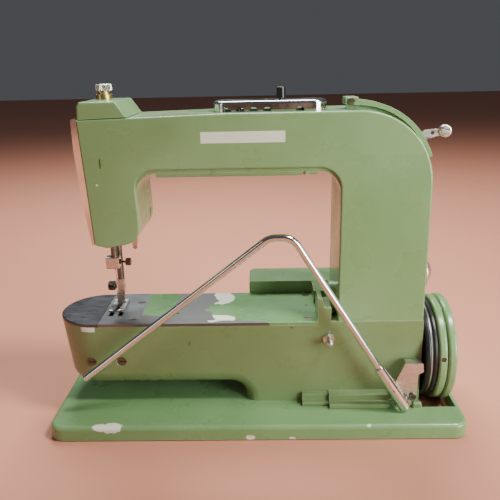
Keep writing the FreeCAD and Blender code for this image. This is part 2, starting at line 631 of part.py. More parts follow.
def make_lower_drive():
    node("lower_shaft", rod("X", -106, 174, "shaft_radius", ("middle", "low_axis")))
    bushes = [cut(rod("X", low, high, "bush_radius", ("middle", "low_axis")),
                  rod("X", low - 1, high + 1, "shaft_radius + running", ("middle", "low_axis")))
              for low, high in ((-70, -60), (38, 48), (141, 147.5))]
    bushes.append(cut(rod("X", -95, -86, 5, ("middle", "hook_axis")),
                      rod("X", -97, -84, "3 + running", ("middle", "hook_axis"))))
    node("lower_bushes", group(*bushes))
    rim = turned([(161, 5.0, 0), (177 - 0.7, 5.0, 0), (176.3, 12, 1), (173, 14, 3), (172.4, 38, 3),
                  (176.4, 42, 2.0), (176.4, 49.3, 2.6), (168.9, 49.3, 2.4), (168.5, 46.3, 0.2),
                  (167.9, 46.3, 0.2), (167.5, 48.6, 2.2), (160.6, 48.6, 2.2), (160.6, 40, 1),
                  (166, 36, 2), (166, 14, 2), (161, 12, 1)], "middle", "low_axis")
    disc = turned([(150.4, 5.0, 0), (162, 5.0, 0), (162, 29.9, 0), (154, 29.9, 0), (154, 12, 1), (150.4, 12, 1)],
                  "middle", "low_axis")
    screw_way = rod("Y", -60, "middle - 44.6", 2.4, (164.2, "low_axis + 9"))
    node("handwheel_rim", cut(fuse(rim, disc), screw_way))
    screw = cut(rod("Y", "middle - 47.3", "middle - 44.6", 2.35, (164.2, "low_axis + 9")),
                box((161, 167), ("middle - 49", "middle - 46.6"), ("low_axis + 8.6", "low_axis + 9.4")))
    node("handwheel_screw", screw)
    tyre = turned([(149.6, 30, 0.5), (160.5, 30, 0.5), (160.5, 46.2, 1.4), (156.6, 46.6, 1.6), (155.6, 44.4, 0.6),
                   (154.6, 44.4, 0.6), (153.6, 46.6, 1.6), (149.6, 45.8, 1.6)], "middle", "low_axis")
    node("handwheel_tyre", tyre)
    node("lower_pulley", pulley("low_axis", "shaft_radius"))
    node("hook_drive_gear", gear(24, 1, -104, -97, size("low_axis"), "shaft_radius", 0.0))


def pulley(axis, bore):
    """A flanged belt pulley about X."""
    left, right = "pulley_at - 6", "pulley_at + 6"
    drum = rod("X", "pulley_at - 6", "pulley_at + 6", "pulley_radius", ("middle", axis))
    flanges = [rod("X", f"pulley_at {side} 6 - 0.75", f"pulley_at {side} 6 + 0.75", "pulley_radius + 1.6",
                   ("middle", axis)) for side in "-+"]
    return cut(fuse(drum, *flanges), rod("X", f"{left} - 2", f"{right} + 2", bore, ("middle", axis)))


def belt_outline(radius):
    """A stadium around the two pulleys."""
    low, high, middle = size("low_axis"), size("top_axis"), size("middle")
    return [Part.Arc(Vector(middle + radius, high, 0), Vector(middle, high + radius, 0),
                     Vector(middle - radius, high, 0)),
            Part.LineSegment(Vector(middle - radius, high, 0), Vector(middle - radius, low, 0)),
            Part.Arc(Vector(middle - radius, low, 0), Vector(middle, low - radius, 0),
                     Vector(middle + radius, low, 0)),
            Part.LineSegment(Vector(middle + radius, low, 0), Vector(middle + radius, high, 0))]


def make_upper_drive():
    inner = size("pulley_radius") + size("fit_gap")
    left, right = "pulley_at - belt_wide / 2", "pulley_at + belt_wide / 2"
    outer_loop = pad_between("YZ_Plane", belt_outline(inner + size("belt_thick")), left, right)
    inner_loop = pad_between("YZ_Plane", belt_outline(inner), f"{left} - 1", f"{right} + 1")
    node("drive_belt", cut(outer_loop, inner_loop))
    node("upper_pulley", pulley("top_axis", "top_shaft_radius"))
    node("upper_shaft", rod("X", -113, 112, "top_shaft_radius", ("middle", "top_axis")))
    bushes = [cut(rod("X", low, high, 8, ("middle", "top_axis")),
                  rod("X", low - 1, high + 1, "top_shaft_radius + running", ("middle", "top_axis")))
              for low, high in ((-102, -94), (-61, -53), (39, 47), (79, 87))]
    UPPER_BUSHES.extend(bushes)
    web = rod("X", -113, -107, 10, ("middle", "top_axis"))
    pin_seat = rod("X", -113, -107, 6.5, ("crank_pin_y", "crank_pin_z"))
    weight = pad_between("YZ_Plane", outline([(-14, 252, 3), (1, 252, 3), (8, 232, 6), (-3, 226.5, 8), (-16, 232, 6)]),
                         -113, -107)
    pin = rod("X", -119, -107, 3, ("crank_pin_y", "crank_pin_z"))
    node("needle_crank", cut(fuse(web, pin_seat, weight, pin),
                             rod("X", -113, -100, "top_shaft_radius", ("middle", "top_axis"))))


def make_hook():
    axis = "hook_axis"
    shaft = rod("X", -114, -80, 3, ("middle", axis))
    pinion = gear(12, 1, -104, -97, size(axis), 2.9, 0.5)
    cup = cut(rod("X", -127.4, -113.5, 15, ("middle", axis)), rod("X", -128, -116, 12.2, ("middle", axis)),
              box((-128, -121), ("middle - 16", "middle"), (size(axis) + 9, size(axis) + 20)),
              rod("X", -114, -113, 3, ("middle", axis)))
    node("rotary_hook", fuse(cup, shaft, pinion))
    case = cut(rod("X", -127.4, -116.4, 11.8, ("middle", axis)), rod("X", -129, -117.6, 10.6, ("middle", axis)))
    node("bobbin_case", fuse(case, rod("X", -126, -116.5, 2.4, ("middle", axis))))
    bobbin = turned([(-127, 2.5, 0), (-127, 10, 0.2), (-126, 10, 0.2), (-126, 5.4, 0), (-119, 5.4, 0),
                     (-119, 10, 0.2), (-118, 10, 0.2), (-118, 2.5, 0)], "middle", axis)
    node("bobbin", bobbin)


def make_feed():
    bar = box((-137, -108), (-16, 3), (85, 87.5))
    window = box((-131.3, -127.7), (-12, -1), (80, 95))
    node("feed_bar", cut(bar, window))
    rows = []
    for x in FEED_ROWS:
        notches = [rod("X", x - 1, x + 4, 0.45, (-17 + 1.6 * i, 92.2)) for i in range(1, 13)]
        rows.append(cut(box((x, x + 3), (-18, 5), (87.6, 92)), *notches))
    node("feed_dog", fuse(*rows, box((-135.2, -123.8), (-18, -13.5), (87.6, 88.6)),
                          box((-135.2, -123.8), (0.5, 5), (87.6, 88.6))))


# ---------------------------------------------------------------- needle and presser

def make_needle_line():
    at = ("needle_at", "middle")
    bar = fuse(rod("Z", "bar_low", 228, "bar_radius", at),
               rod("X", "needle_at + 1", -119.2, 2, ("middle", "rod_foot_z")),
               rod("Z", "rod_foot_z - 4", "rod_foot_z + 4", 4.2, at))
    node("needle_bar", bar)
    guides = [cut(rod("Z", 161.5, 175, 5.5, at), rod("Z", 160, 176, "bar_radius + running", at)),
              cut(rod("Z", 161.5, 175, 5.4, ("presser_at", "presser_line")),
                  rod("Z", 160, 176, "presser_radius + running", ("presser_at", "presser_line")))]
    spread = box((-135, -120), ("(middle + presser_line) / 2 - 0.2", "(middle + presser_line) / 2 + 0.2"), (150, 180))
    UPPER_BUSHES.extend(cut(guide, spread) for guide in guides)
    block = round_edges(box((-137, -124.8), (-11.5, -1.8), (134, 145)), 1.0, lambda edge: True)
    node("needle_clamp", cut(block, rod("Z", "bar_low", 150, "bar_radius", at),
                             rod("Z", 130, "bar_low + 1", 1.0, at),
                             rod("X", -131, -120, 1.2, ("middle", 139.5))))
    grip = turned([(-119.4, 0, 0), (-119.4, 3.6, 0.5), (-114.8, 3.6, 0.8), (-114.8, 0, 0)], "middle", "139.5")
    node("clamp_screw", fuse(grip, rod("X", -128.4, -119.4, 1.1, ("middle", 139.5)),
                             rod("X", -124.8, -123.4, 2.6, ("middle", 139.5))))
    thin = rod("Z", 110, 132, 0.55, at)
    point = cone("Z", "needle_tip", 110, 0.08, 0.55, at)
    node("needle", fuse(rod("Z", 133, "bar_low - 0.02", 0.99, at), cone("Z", 131.9, 133.1, 0.55, 0.99, at), thin, point))

    small = rod("X", -122, -119.6, 5, ("middle", "rod_foot_z"))
    big = rod("X", -122, -119.6, 5.4, ("crank_pin_y", "crank_pin_z"))
    shank = pad_between("YZ_Plane", outline([
        (size("middle") - 3, size("rod_foot_z"), 0), (size("middle") + 3, size("rod_foot_z"), 0),
        (size("crank_pin_y") + 3, size("crank_pin_z"), 0), (size("crank_pin_y") - 3, size("crank_pin_z"), 0)]),
        -122, -119.6)
    node("connecting_rod", cut(fuse(small, big, shank),
                               rod("X", -123, -119, "2 + running", ("middle", "rod_foot_z")),
                               rod("X", -123, -119, 3.05, ("crank_pin_y", "crank_pin_z"))))

    arm = pad_between("YZ_Plane", outline([(-27, 203, 4), (-17, 203, 4), (-14, 232, 4), (2, 248, 2), (-1, 252, 2),
                                           (-20, 236, 5)]), -136.4, -134.4)
    node("take_up_lever", cut(arm, rod("X", -138, -133, 3.05, (-22, 208)),
                              rod("X", -138, -133, 1.2, (-2, 247.6))))


def coil_spring(x, y, low, high, mean_radius, wire_radius, turns):
    """A compression spring swept along a helix."""
    pitch = (high - low - 2 * wire_radius) / turns
    helix = doc.addObject("Part::Helix", "spring_line")
    helix.Pitch = pitch
    helix.Height = pitch * turns
    helix.Radius = mean_radius
    ring = doc.addObject("Part::Circle", "wire_section")
    ring.Radius = wire_radius
    ring.Placement = FreeCAD.Placement(Vector(mean_radius, 0, 0), FreeCAD.Rotation(Vector(1, 0, 0), 90))
    sweep = doc.addObject("Part::Sweep", "spring")
    sweep.Sections = [ring]
    sweep.Spine = (helix, ["Edge1"])
    sweep.Solid = True
    sweep.Frenet = True
    sweep.Placement.Base = Vector(x, y, low + wire_radius)
    return sweep


def make_presser_line():
    at = ("presser_at", "presser_line")
    node("presser_bar", fuse(rod("Z", 119, 258, "presser_radius", at), rod("Z", 220, 226, 5.9, at)))
    node("presser_spring", coil_spring(size("presser_at"), size("presser_line"), 226.2, 266, 4.7, 0.7, 9))
    shank = box((-131.4, -125), (1.4, 7.8), (104, 119))
    neck = box((-133, -126), (2.6, 6.6), (96.2, 104.4))
    sole = pad_between("YZ_Plane", outline([(-21, 95.2, 0.6), (-17.5, 93.2, 3), (9.5, 93.2, 1), (9.5, 95.4, 0.6),
                                            (7.5, 96.8, 1), (-12, 95.6, 3), (-21, 97.6, 1)]), -136, -123)
    gap = box((-131.6, -127.4), (-30, -2.5), (90, 100))
    hole = rod("Z", 90, 100, 2.2, ("needle_at", "middle"))
    foot = fuse(cut(shank, rod("X", -140, -120, 1.6, ("presser_line", 112))), neck, cut(sole, gap, hole))
    node("presser_foot", foot)
    grip = turned([(-140.4, 0, 0), (-140.4, 4.6, 0.8), (-134, 4.6, 0.8), (-134, 0, 0)], "presser_line", "112")
    node("foot_screw", fuse(grip, rod("X", -134, -126, 1.55, ("presser_line", 112)),
                            rod("X", -134.2, -131.4, 2.6, ("presser_line", 112))))
    knob = turned_up([(0, 291.4, 0), (7, 291.4, 0.8), (7, 296.8, 1.2), (0, 296.8, 0)], "presser_at", "presser_line")
    node("pressure_screw", fuse(knob, rod("Z", 266.4, 291.5, 3, at)))
    bush = cut(fuse(rod("Z", 266, 284.5, 4.5, at), rod("Z", 284.4, 288.4, 7.2, at)),
               rod("Z", 260, 292, "3 + running", at))
    locknut = cut(rod("Z", 288.45, 290.9, 5.2, at), rod("Z", 286, 292, 3.3, at))
    node("pressure_nuts", group(bush, locknut))

    lever = pad_between("XZ_Plane", outline([(-116, 182, 3), (-119.5, 176, 2), (-115.4, 146.4, 1.4), (-112, 146.4, 1.4),
                                             (-108.5, 174, 3), (-108.5, 182, 3)]), 10.4, 13.4)
    node("lifter_lever", cut(lever, rod("Y", 8, 16, 2.55, LIFTER_PIVOT)))


# ---------------------------------------------------------------- motor

def make_motor():
    shell = box(("motor_cover_left", "motor_cover_right"), ("back + 0.1", "motor_cover_back"),
                ("base_top", "motor_cover_top"))
    shell = round_edges(shell, 7, lambda edge: abs(edge.tangentAt(edge.FirstParameter).z) > 0.9 and
                        middle_of(edge).y > 60)
    shell = round_edges(shell, 1.6, lambda edge: middle_of(edge).z > size("motor_cover_top") - 0.1 and
                        middle_of(edge).y > size("back") + 1)
    hollow = box(("motor_cover_left + 3", "motor_cover_right - 3"), ("back + 3", "motor_cover_back - 3"),
                 ("base_top - 1", "motor_cover_top - 3"))
    shaft_way = rod("X", 130, 145, 6, ("motor_line", "motor_axis"))
    inlet_way = box((20, 44), (60, 75), (26, 44))
    vents = [box((70 + 8 * i, 73 + 8 * i), (60, 75), (30, 78)) for i in range(7)]
    node("motor_cover", cut(shell, hollow, shaft_way, inlet_way, *vents))
    at = ("motor_line", "motor_axis")
    case = fuse(rod("X", 8, 102, 16, at), box((20, 90), ("motor_line - 10", "motor_line + 10"), ("base_top", 45)))
    node("motor_body", cut(case, rod("X", 0, 110, 3.05, at)))
    node("motor_rotor", fuse(rod("X", 12, 159, 3, at), rod("X", 150.4, 158.4, 9, at)))
    block = round_edges(box((20.3, 43.7), ("motor_cover_back - 6", "motor_cover_back + 3"), (26.3, 43.7)), 1.2,
                        lambda edge: middle_of(edge).y > size("motor_cover_back") + 2.9)
    pins = [rod("Y", "motor_cover_back - 3", "motor_cover_back + 4", 3, (x, 35)) for x in (27, 37)]
    sleeve = [rod("Y", "motor_cover_back - 3.5", "motor_cover_back + 2.5", 1.2, (x, 35)) for x in (27, 37)]
    node("power_inlet", fuse(cut(block, *pins), *sleeve))


# ---------------------------------------------------------------- bobbin winder

def make_winder():
    wheel = turned([(150.6, 0, 0), (150.6, 14.6, 0.6), (154.4, 14.6, 1.2), (158.6, 8, 6), (160.8, 3.2, 1.5),
                    (161.6, 0, 0)], "middle", "126")
    node("winder_wheel", wheel)


# ---------------------------------------------------------------- knee lever

SOCKET_END = (130.6, 18.4)
KNEE_BEND = (31, 176)
KNEE_BEND_FAR = (12, 176)
KNEE_END = (-150.9, 49.4)


def on_socket(along, side):
    """A point of the lever's plane, measured along the socket from its low end and sideways from it."""
    run, rise = KNEE_BEND[0] - SOCKET_END[0], KNEE_BEND[1] - SOCKET_END[1]
    length = math.hypot(run, rise)
    run, rise = run / length, rise / length
    return SOCKET_END[0] + along * run + side * rise, SOCKET_END[1] + along * rise - side * run


def in_plane(spot, depth=0.0):
    """A spot of the lever's plane as a point in space."""
    return Vector(spot[0], size("knee_plane") + depth, spot[1])


def bar_between(start, end, radius):
    """A round bar between two points."""
    bar = doc.addObject("Part::Cylinder", "bar")
    bar.setExpression("Radius", bound(radius))
    bar.Height = (end - start).Length
    bar.Placement = FreeCAD.Placement(start, FreeCAD.Rotation(Vector(0, 0, 1), end - start))
    return bar


def strip_outline(along, side):
    """A rectangle lying along the socket, as corners without rounding."""
    corners = [on_socket(along[0], side[0]), on_socket(along[0], side[1]),
               on_socket(along[1], side[1]), on_socket(along[1], side[0])]
    return outline([(x, z, 0) for x, z in corners])


def make_knee_bracket():
    """The swinging plate, with two ears that carry the socket's folding pin."""
    rear = "bracket_plane + bracket_thick"
    plate = pad_between("XZ_Plane", outline([(130.5, 57.5, 1), (146.2, 57.5, 1), (147.2, 49, 1), (142.5, 47, 2),
                                             (142.2, 20.2, 1), (134.6, 20.2, 2), (122.4, 38.5, 2)]),
                        "bracket_plane", rear)
    flange = box((131.5, 145.5), ("bracket_plane + 1", "bracket_plane + 9"), (56, 57.5))
    tongue = pad_between("XZ_Plane", strip_outline((0.6, 5.4), (-6.8, 6)), "bracket_plane", rear)
    ears = [pad_between("XZ_Plane", strip_outline((0.6, 5.4), side), "knee_plane - 2.5", "bracket_plane + 1")
            for side in ((-6.8, -5.2), (5.2, 6.8))]
    pin_way = bar_between(in_plane(on_socket(3, -10)), in_plane(on_socket(3, 10)), "1.5 + running")
    pivot_way = rod("Y", -60, -50, "2 + running", KNEE_PIVOT)
    node("knee_bracket", cut(fuse(plate, flange, tongue, *ears), pin_way, pivot_way))
    x, z = KNEE_PIVOT
    head = cut(rod("Y", "bracket_plane - 1.7", "bracket_plane - 0.1", 3.3, KNEE_PIVOT),
               box((x - 4, x + 4), ("bracket_plane - 2", "bracket_plane - 1"), (z - 0.5, z + 0.5)))
    shoulder = rod("Y", "bracket_plane - 0.1", "front", 2, KNEE_PIVOT)
    thread = rod("Y", "front", "front + wall + 5", 1.95, KNEE_PIVOT)
    SMALL_SCREWS.append(fuse(head, shoulder, thread))


def make_lever_socket():
    """The slit tube that holds the knee rod, with its folding pin."""
    tube = bar_between(in_plane(SOCKET_END), in_plane(on_socket(45.9, 0)), 4.9)
    bore = bar_between(in_plane(on_socket(6, 0)), in_plane(on_socket(50, 0)), "knee_rod_radius + running")
    slit = pad_between("XZ_Plane", strip_outline((20, 50), (-0.45, 0.45)), "knee_plane - 8", "knee_plane")
    pin = bar_between(in_plane(on_socket(3, -7.6)), in_plane(on_socket(3, 7.6)), 1.5)
    node("lever_socket", fuse(cut(tube, bore, slit), pin))


def rounded_corner(before, corner, after, radius):
    """Start, middle and end of the arc that rounds a corner of the rod's line."""
    to_before = (before - corner).normalize()
    to_after = (after - corner).normalize()
    half = to_before.getAngle(to_after) / 2
    reach = radius / math.tan(half)
    centre = corner + (to_before + to_after).normalize() * (radius / math.sin(half))
    return corner + to_before * reach, centre + (corner - centre).normalize() * radius, corner + to_after * reach


def make_knee_rod():
    """The bent rod, swept along two straight runs joined over two rounded corners."""
    start, end = in_plane(on_socket(18.7, 0)), in_plane(KNEE_END)
    first, second = in_plane(KNEE_BEND), in_plane(KNEE_BEND_FAR)
    arcs = [rounded_corner(start, first, second, 15.5), rounded_corner(first, second, end, 15.5)]
    pieces = []
    spot = start
    for arc_start, arc_middle, arc_end in arcs:
        pieces.append(Part.LineSegment(spot, arc_start).toShape())
        pieces.append(Part.Arc(arc_start, arc_middle, arc_end).toShape())
        spot = arc_end
    pieces.append(Part.LineSegment(spot, end).toShape())
    ring = Part.Circle(start, first - start, size("knee_rod_radius")).toShape()
    bent = doc.addObject("Part::Feature", "knee_rod_line")
    bent.Shape = Part.Wire(pieces).makePipeShell([Part.Wire([ring])], True, False)
    node("knee_rod", bent)


make_base()
make_lower_casting()
make_front_ledge()
make_bed()
make_front_fittings()
make_upper_casting()
make_covers()
make_head_fittings()
make_tension()
make_quadrant()
make_lower_drive()
make_upper_drive()
make_hook()
make_feed()
make_needle_line()
make_presser_line()
make_motor()
make_winder()
make_knee_bracket()
make_lever_socket()
make_knee_rod()
node("cover_screws", group(*SMALL_SCREWS))
node("upper_bushes", group(*UPPER_BUSHES))

doc.recompute()
broken = [obj.Label for obj in doc.Objects if "Invalid" in obj.State or "Error" in obj.State]
if broken:
    raise SystemExit(f"objects that failed: {broken}")
os.makedirs("parts", exist_ok=True)
for name, obj in NODES.items():
    shape = obj.Shape
    if shape.isNull() or not shape.isValid() or not shape.Solids:
        raise SystemExit(f"{name} has no valid solid")
    shape.exportStep(f"parts/{name}.step")
print(len(NODES), "sub-parts written")
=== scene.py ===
import math

import bmesh
import bpy
from mathutils import Matrix, Vector


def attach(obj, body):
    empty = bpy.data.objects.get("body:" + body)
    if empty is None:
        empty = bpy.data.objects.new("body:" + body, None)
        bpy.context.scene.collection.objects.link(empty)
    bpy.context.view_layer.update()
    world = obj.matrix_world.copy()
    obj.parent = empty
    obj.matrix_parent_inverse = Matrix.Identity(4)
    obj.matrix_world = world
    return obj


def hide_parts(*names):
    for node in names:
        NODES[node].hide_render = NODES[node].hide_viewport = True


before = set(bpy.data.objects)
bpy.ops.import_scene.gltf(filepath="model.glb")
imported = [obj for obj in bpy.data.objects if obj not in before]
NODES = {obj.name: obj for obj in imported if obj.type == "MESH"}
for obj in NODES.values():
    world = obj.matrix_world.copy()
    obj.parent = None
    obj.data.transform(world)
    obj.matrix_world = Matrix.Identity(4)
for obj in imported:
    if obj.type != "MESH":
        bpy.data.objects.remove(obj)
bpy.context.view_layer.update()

MM = 0.001


# ---------------------------------------------------------------- materials

class Material:
    """A node material being built; every helper returns an output socket."""

    def __init__(self, name):
        self.material = bpy.data.materials.new(name)
        self.material.use_nodes = True
        self.tree = self.material.node_tree
        self.shader = self.tree.nodes["Principled BSDF"]
        self.place = self.node("ShaderNodeTexCoord").outputs["Object"]

    def node(self, kind, **values):
        made = self.tree.nodes.new(kind)
        for key, value in values.items():
            setattr(made, key, value)
        return made

    def feed(self, socket, value):
        """Link a socket, or set a plain value on it."""
        if isinstance(value, bpy.types.NodeSocket):
            self.tree.links.new(value, socket)
        else:
            socket.default_value = value

    def set(self, name, value):
        """Set or link one input of the shader."""
        self.feed(self.shader.inputs[name], value)

    def maths(self, operation, one, two=0.0, clamp=False):
        made = self.node("ShaderNodeMath", operation=operation, use_clamp=clamp)
        self.feed(made.inputs[0], one)
        self.feed(made.inputs[1], two)
        return made.outputs[0]

    def noise(self, scale, detail=3.0, rough=0.55, stretch=(1, 1, 1), shift=(0, 0, 0), twist=0.0):
        """Noise from 0 to 1 over the object's own metres."""
        mapping = self.node("ShaderNodeMapping")
        mapping.inputs["Scale"].default_value = stretch
        mapping.inputs["Location"].default_value = shift
        self.feed(mapping.inputs["Vector"], self.place)
        made = self.node("ShaderNodeTexNoise")
        self.feed(made.inputs["Vector"], mapping.outputs[0])
        made.inputs["Scale"].default_value = scale
        made.inputs["Detail"].default_value = detail
        made.inputs["Roughness"].default_value = rough
        made.inputs["Distortion"].default_value = twist
        return made.outputs[0]

    def ramp(self, value, low, high, start=0.0, end=1.0):
        """Map low..high to start..end with a smooth step, clamped."""
        made = self.node("ShaderNodeMapRange", interpolation_type="SMOOTHSTEP")
        for socket, number in zip(made.inputs[1:5], (low, high, start, end)):
            socket.default_value = number
        self.feed(made.inputs[0], value)
        return made.outputs[0]

    def mix(self, factor, one, two):
        """Blend two colours or colour sockets."""
        made = self.node("ShaderNodeMix", data_type="RGBA")
        self.feed(made.inputs["Factor"], factor)
        for name, value in (("A", one), ("B", two)):
            socket = [s for s in made.inputs if s.name == name and s.type == "RGBA"][0]
            self.feed(socket, value if isinstance(value, bpy.types.NodeSocket) else (*value, 1))
        return [s for s in made.outputs if s.type == "RGBA"][0]

    def axis(self, letter):
        """One coordinate of the point, in metres."""
        made = self.node("ShaderNodeSeparateXYZ")
        self.feed(made.inputs[0], self.place)
        return made.outputs["XYZ".index(letter)]

    def within(self, letter, low, high, soft):
        """1 where a coordinate lies between two limits in millimetres, fading over soft millimetres."""
        value = self.axis(letter)
        rise = self.ramp(value, (low - soft) * MM, (low + soft) * MM)
        fall = self.ramp(value, (high - soft) * MM, (high + soft) * MM, 1, 0)
        return self.maths("MULTIPLY", rise, fall)

    def block(self, low, high, soft=1.0):
        """1 inside a box given by two corners in millimetres."""
        factors = [self.within(letter, low[i], high[i], soft) for i, letter in enumerate("XYZ")]
        return self.maths("MULTIPLY", self.maths("MULTIPLY", factors[0], factors[1]), factors[2])

    def ball(self, centre, radius, ragged=0.35, scale=300, stretch=(1, 1, 1)):
        """1 inside a ragged ball round a point, both in millimetres; stretch squeezes it along an axis."""
        away = self.node("ShaderNodeVectorMath", operation="SUBTRACT")
        self.feed(away.inputs[0], self.place)
        away.inputs[1].default_value = [c * MM for c in centre]
        squeezed = self.node("ShaderNodeVectorMath", operation="MULTIPLY")
        self.feed(squeezed.inputs[0], away.outputs[0])
        squeezed.inputs[1].default_value = stretch
        reach = self.node("ShaderNodeVectorMath", operation="LENGTH")
        self.feed(reach.inputs[0], squeezed.outputs[0])
        torn = self.maths("MULTIPLY", self.noise(scale, 4), -2 * ragged * radius * MM)
        edge = self.maths("ADD", reach.outputs["Value"], torn)
        limit = radius * MM * (1 - ragged)
        return self.ramp(edge, limit - 0.15 * MM, limit + 0.15 * MM, 1, 0)

    def either(self, *factors):
        """The largest of several masks."""
        total = factors[0]
        for factor in factors[1:]:
            total = self.maths("MAXIMUM", total, factor)
        return total

    def edge(self, reach):
        """How far the surface turns within a reach in millimetres: 0 on a flat, near 1 on an edge."""
        bevel = self.node("ShaderNodeBevel", samples=6)
        bevel.inputs["Radius"].default_value = reach * MM
        true = self.node("ShaderNodeNewGeometry").outputs["Normal"]
        dot = self.node("ShaderNodeVectorMath", operation="DOT_PRODUCT")
        self.feed(dot.inputs[0], bevel.outputs[0])
        self.feed(dot.inputs[1], true)
        return self.maths("SUBTRACT", 1.0, dot.outputs["Value"], clamp=True)

    def bump(self, height, depth, strength):
        """Add relief of a given depth in millimetres, on top of what is there already."""
        made = self.node("ShaderNodeBump")
        made.inputs["Distance"].default_value = depth * MM
        made.inputs["Strength"].default_value = strength
        self.feed(made.inputs["Height"], height)
        linked = self.shader.inputs["Normal"].links
        if linked:
            self.feed(made.inputs["Normal"], linked[0].from_socket)
        self.set("Normal", made.outputs[0])


GREEN = (0.158, 0.266, 0.108)
GREEN_PALE = (0.198, 0.316, 0.142)
GREEN_DIRTY = (0.100, 0.135, 0.050)
# Pale lime laid along the enamel's edges as a painted highlight.
PAINTED_HIGHLIGHT_LIME = (0.50, 0.60, 0.36)
BARE = (0.155, 0.148, 0.146)
BARE_DARK = (0.115, 0.110, 0.108)
PRIMER = (0.70, 0.69, 0.58)
PLATED = (0.75, 0.74, 0.72)
GRIME = 0.22
COAT = 0.22
COAT_ROUGHNESS = 0.12
BARE_METALLIC = 0.8
LOST_ROUGHNESS = 0.42


def enamel(name, tone=GREEN, pale=GREEN_PALE, chips=(), worn=None, primer=None, marks=()):
    """Old stoving enamel: slight tone drift, orange peel, fine scratches, grime, chips, and a painted
    highlight in pale lime along the edges.

    worn and primer are functions that give masks of bare metal and of the pale undercoat. Each of marks
    is a mask function with the colour that it lays over the paint.
    """
    m = Material(name)
    drift = m.ramp(m.noise(9, 3), 0.35, 0.7)
    colour = m.mix(drift, tone, pale)
    speckle = m.ramp(m.noise(260, 4, 0.6), 0.62, 0.78)
    colour = m.mix(m.maths("MULTIPLY", speckle, 0.12), colour, GREEN_DIRTY)
    smudge = m.ramp(m.noise(22, 5, 0.65, twist=0.6), 0.52, 0.8)
    colour = m.mix(m.maths("MULTIPLY", smudge, GRIME), colour, GREEN_DIRTY)
    rough = m.ramp(m.noise(30, 4), 0.3, 0.7, 0.24, 0.36)
    lines = m.ramp(m.noise(55, 2, 0.4, stretch=(1.4, 1, 14), shift=(3, 0, 1)), 0.68, 0.70)
    scratch = m.maths("MULTIPLY", lines, m.ramp(m.noise(11, 2), 0.54, 0.62))
    colour = m.mix(m.maths("MULTIPLY", scratch, 0.3), colour, pale)
    edges = m.edge(0.9)
    # Painted highlight: pale lime lines in patches along the rounded edges, standing in for the light they
    # catch.
    patchy = m.ramp(m.noise(70, 4, 0.6), 0.2, 0.5, 0.25, 0.75)
    painted_edge_highlight = m.maths("MULTIPLY", m.ramp(edges, 0.03, 0.22), patchy)
    colour = m.mix(painted_edge_highlight, colour, PAINTED_HIGHLIGHT_LIME)
    for mask, mark in marks:
        colour = m.mix(mask(m), colour, mark)
    lost = m.maths("MULTIPLY", m.ramp(edges, 0.08, 0.3), m.ramp(m.noise(45, 5, 0.7), 0.60, 0.72))
    for centre, radius, stretch in chips:
        lost = m.either(lost, m.ball(centre, radius, stretch=stretch))
    if primer is not None:
        lost = m.either(lost, primer(m))
    colour = m.mix(lost, colour, PRIMER)
    if worn is not None:
        bare = worn(m)
        colour = m.mix(bare, colour, m.mix(m.noise(160, 3), BARE, BARE_DARK))
        m.set("Metallic", m.maths("MULTIPLY", bare, BARE_METALLIC))
        lost = m.either(bare, lost)
    m.set("Base Color", colour)
    m.set("Roughness", m.maths("MAXIMUM", rough, m.maths("MULTIPLY", lost, LOST_ROUGHNESS)))
    m.set("Coat Weight", m.maths("SUBTRACT", COAT, m.maths("MULTIPLY", lost, COAT), clamp=True))
    m.set("Coat Roughness", COAT_ROUGHNESS)
    m.bump(m.noise(420, 2), 0.025, 0.3)
    m.bump(m.maths("SUBTRACT", 1.0, lost), 0.09, 0.7)
    return m.material


def metal(name, tone, dark, rough, brushed, stain, scale, relief=0.02):
    """A bare or plated metal: brushed along one axis, stained and finely scratched."""
    m = Material(name)
    grain = m.noise(scale, 4, 0.6, stretch=brushed)
    stains = m.ramp(m.noise(28, 5, 0.7, twist=0.4), 0.5, 0.8)
    pits = m.ramp(m.noise(650, 3), 0.66, 0.78)
    colour = m.mix(m.maths("MULTIPLY", stains, stain), tone, dark)
    colour = m.mix(m.maths("MULTIPLY", pits, 0.5), colour, dark)
    m.set("Base Color", colour)
    base = m.ramp(grain, 0.3, 0.7, rough[0], rough[1])
    m.set("Roughness", m.maths("ADD", base, m.maths("MULTIPLY", stains, 0.12), clamp=True))
    m.set("Metallic", 1.0)
    m.bump(grain, relief, 0.4)
    return m.material


def soft_black(name, tone, dusty, rough, relief, scale, plated=None):
    """Rubber or moulded plastic: dusty, with a fine skin, and bright metal where the plated mask says."""
    m = Material(name)
    dust = m.ramp(m.noise(36, 5, 0.7), 0.45, 0.8)
    colour = m.mix(m.maths("MULTIPLY", dust, 0.6), tone, dusty)
    m.set("Specular IOR Level", 0.4)
    if plated is not None:
        line = plated(m)
        colour = m.mix(line, colour, PLATED)
        m.set("Metallic", line)
    m.set("Base Color", colour)
    m.set("Roughness", m.ramp(m.noise(80, 3), 0.3, 0.7, rough[0], rough[1]))
    m.bump(m.noise(scale, 3), relief, 0.5)
    return m.material


def plaque(m):
    """A blank pale name-plate shape on the front of the arm, with nothing written on it."""
    shape = m.block((-42, -44, 250.5), (26, -41, 259.5), 0.25)
    return m.maths("MULTIPLY", shape, m.ramp(m.noise(240, 4, 0.7), 0.2, 0.3))


def slender(centre, radius, stretch):
    """A mask function for one small mark."""
    return lambda m: m.ball(centre, radius, 0.3, stretch=stretch)


# Lost chips of paint on the base: centre and radius in millimetres, and how the ball is squeezed.
BASE_CHIPS = [((-136.5, -80.5, 13), 3.6, (0.55, 1, 1)), ((-126, -80.5, 13), 5.2, (0.6, 1, 1)),
              ((-6, -82.5, 3), 2.4, (0.6, 1, 1)), ((30, -82.5, 2), 1.6, (0.6, 1, 1)),
              ((96, -81, 13), 1.3, (0.6, 1, 1)), ((-60, 81, 13), 2.6, (0.6, 1, 1)),
              ((181, 20, 12.5), 2.6, (1, 0.5, 1))]
